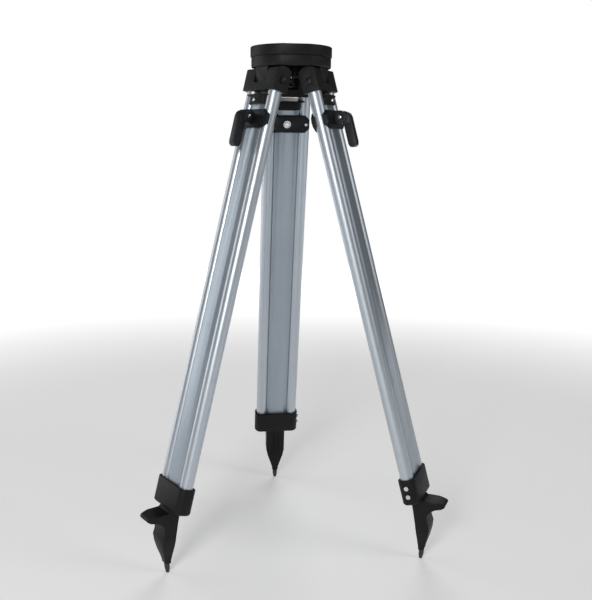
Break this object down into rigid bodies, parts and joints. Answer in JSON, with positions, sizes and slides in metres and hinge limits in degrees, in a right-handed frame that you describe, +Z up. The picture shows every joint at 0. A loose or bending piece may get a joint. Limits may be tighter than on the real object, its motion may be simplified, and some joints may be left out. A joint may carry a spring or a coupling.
{
  "type": "surveyor tripod",
  "caption": "Telescoping aluminium surveyor tripod with flat black head, twin-tube legs, quick-clamp levers and pointed step feet.",
  "frame": {"origin": "on the ground under the middle of the overall box, legs spread and retracted", "axes": "+Z up, perpendicular to the flat head; +Y towards the rear leg; X across the two front legs"},
  "size_m": [0.5988, 0.5234, 0.9932],
  "materials": {
    "black_cast": "black powder coat over die-cast aluminium, faint pebble",
    "black_clamp": "black moulded glass-filled nylon, satin",
    "black_plastic": "black moulded plastic, matt",
    "silver_tube": "clear anodised drawn tube, satin",
    "silver_profile": "clear anodised extrusion, satin with fine lengthwise lines",
    "steel": "dark zinc-plated steel",
    "black_oxide": "black oxide steel, satin",
    "bright_steel": "bright zinc-plated steel"
  },
  "bodies": {
    "head": {"head_plate": "black_cast", "arm_pivot_bolt": "steel"},
    "arm": {"screw_arm": "steel"},
    "carriage": {"slide_washer": "bright_steel"},
    "screw": {"centre_screw": "bright_steel", "screw_knob": "black_plastic", "plumb_hook": "bright_steel"},
    "upper_rear": {"leg_holder_rear": "black_cast", "hinge_bolt_rear": "black_oxide", "tube_a_rear": "silver_tube", "tube_b_rear": "silver_tube", "tube_guide_rear": "black_plastic"},
    "lower_rear": {"lower_profile_rear": "silver_profile", "guide_cap_rear": "black_plastic", "clamp_outer_rear": "black_clamp", "clamp_inner_rear": "black_clamp", "clamp_bolt_rear": "bright_steel", "lever_pin_rear": "bright_steel", "foot_bracket_rear": "black_cast", "bracket_screw_top_rear": "bright_steel", "bracket_screw_low_rear": "bright_steel", "foot_casting_rear": "black_cast", "foot_point_rear": "steel"},
    "lever_rear": {"clamp_lever_rear": "black_clamp"},
    "upper_left": {"leg_holder_left": "black_cast", "hinge_bolt_left": "black_oxide", "tube_a_left": "silver_tube", "tube_b_left": "silver_tube", "tube_guide_left": "black_plastic"},
    "lower_left": {"lower_profile_left": "silver_profile", "guide_cap_left": "black_plastic", "clamp_outer_left": "black_clamp", "clamp_inner_left": "black_clamp", "clamp_bolt_left": "bright_steel", "lever_pin_left": "bright_steel", "foot_bracket_left": "black_cast", "bracket_screw_top_left": "bright_steel", "bracket_screw_low_left": "bright_steel", "foot_casting_left": "black_cast", "foot_point_left": "steel"},
    "lever_left": {"clamp_lever_left": "black_clamp"},
    "upper_right": {"leg_holder_right": "black_cast", "hinge_bolt_right": "black_oxide", "tube_a_right": "silver_tube", "tube_b_right": "silver_tube", "tube_guide_right": "black_plastic"},
    "lower_right": {"lower_profile_right": "silver_profile", "guide_cap_right": "black_plastic", "clamp_outer_right": "black_clamp", "clamp_inner_right": "black_clamp", "clamp_bolt_right": "bright_steel", "lever_pin_right": "bright_steel", "foot_bracket_right": "black_cast", "bracket_screw_top_right": "bright_steel", "bracket_screw_low_right": "bright_steel", "foot_casting_right": "black_cast", "foot_point_right": "steel"},
    "lever_right": {"clamp_lever_right": "black_clamp"}
  },
  "joints": [
    {"name": "leg_spread_rear", "type": "hinge", "parent": "head", "child": "upper_rear", "pos_m": [0, -0.01889, 0.92722], "axis": [1, 0, 0], "range_deg": [-15.5, 8]},
    {"name": "leg_length_rear", "type": "slide", "parent": "upper_rear", "child": "lower_rear", "axis": [0, 0.2672, -0.9636], "range_m": [0, 0.55]},
    {"name": "lever_open_rear", "type": "hinge", "parent": "lower_rear", "child": "lever_rear", "pos_m": [0, 0.02993, 0.86344], "axis": [1, 0, 0], "range_deg": [0, 100]},
    {"name": "leg_spread_left", "type": "hinge", "parent": "head", "child": "upper_left", "pos_m": [-0.04936, -0.10439, 0.92722], "axis": [-0.5, 0.866, 0], "range_deg": [-15.5, 8]},
    {"name": "leg_length_left", "type": "slide", "parent": "upper_left", "child": "lower_left", "axis": [-0.2314, -0.1336, -0.9636], "range_m": [0, 0.55]},
    {"name": "lever_open_left", "type": "hinge", "parent": "lower_left", "child": "lever_left", "pos_m": [-0.09164, -0.1288, 0.86344], "axis": [-0.5, 0.866, 0], "range_deg": [0, 100]},
    {"name": "leg_spread_right", "type": "hinge", "parent": "head", "child": "upper_right", "pos_m": [0.04936, -0.10439, 0.92722], "axis": [-0.5, -0.866, 0], "range_deg": [-15.5, 8]},
    {"name": "leg_length_right", "type": "slide", "parent": "upper_right", "child": "lower_right", "axis": [0.2314, -0.1336, -0.9636], "range_m": [0, 0.55]},
    {"name": "lever_open_right", "type": "hinge", "parent": "lower_right", "child": "lever_right", "pos_m": [0.09164, -0.1288, 0.86344], "axis": [-0.5, -0.866, 0], "range_deg": [0, 100]},
    {"name": "arm_swing", "type": "hinge", "parent": "head", "child": "arm", "pos_m": [0, -0.11989, 0.97721], "axis": [0, 0, 1], "range_deg": [-9, 9]},
    {"name": "screw_slide", "type": "slide", "parent": "arm", "child": "carriage", "axis": [0, 1, 0], "range_m": [-0.0125, 0.0125]},
    {"name": "screw_turn", "type": "hinge", "parent": "carriage", "child": "screw", "pos_m": [0, -0.07589, 0.97721], "axis": [0, 0, 1], "continuous": true}
  ]
}
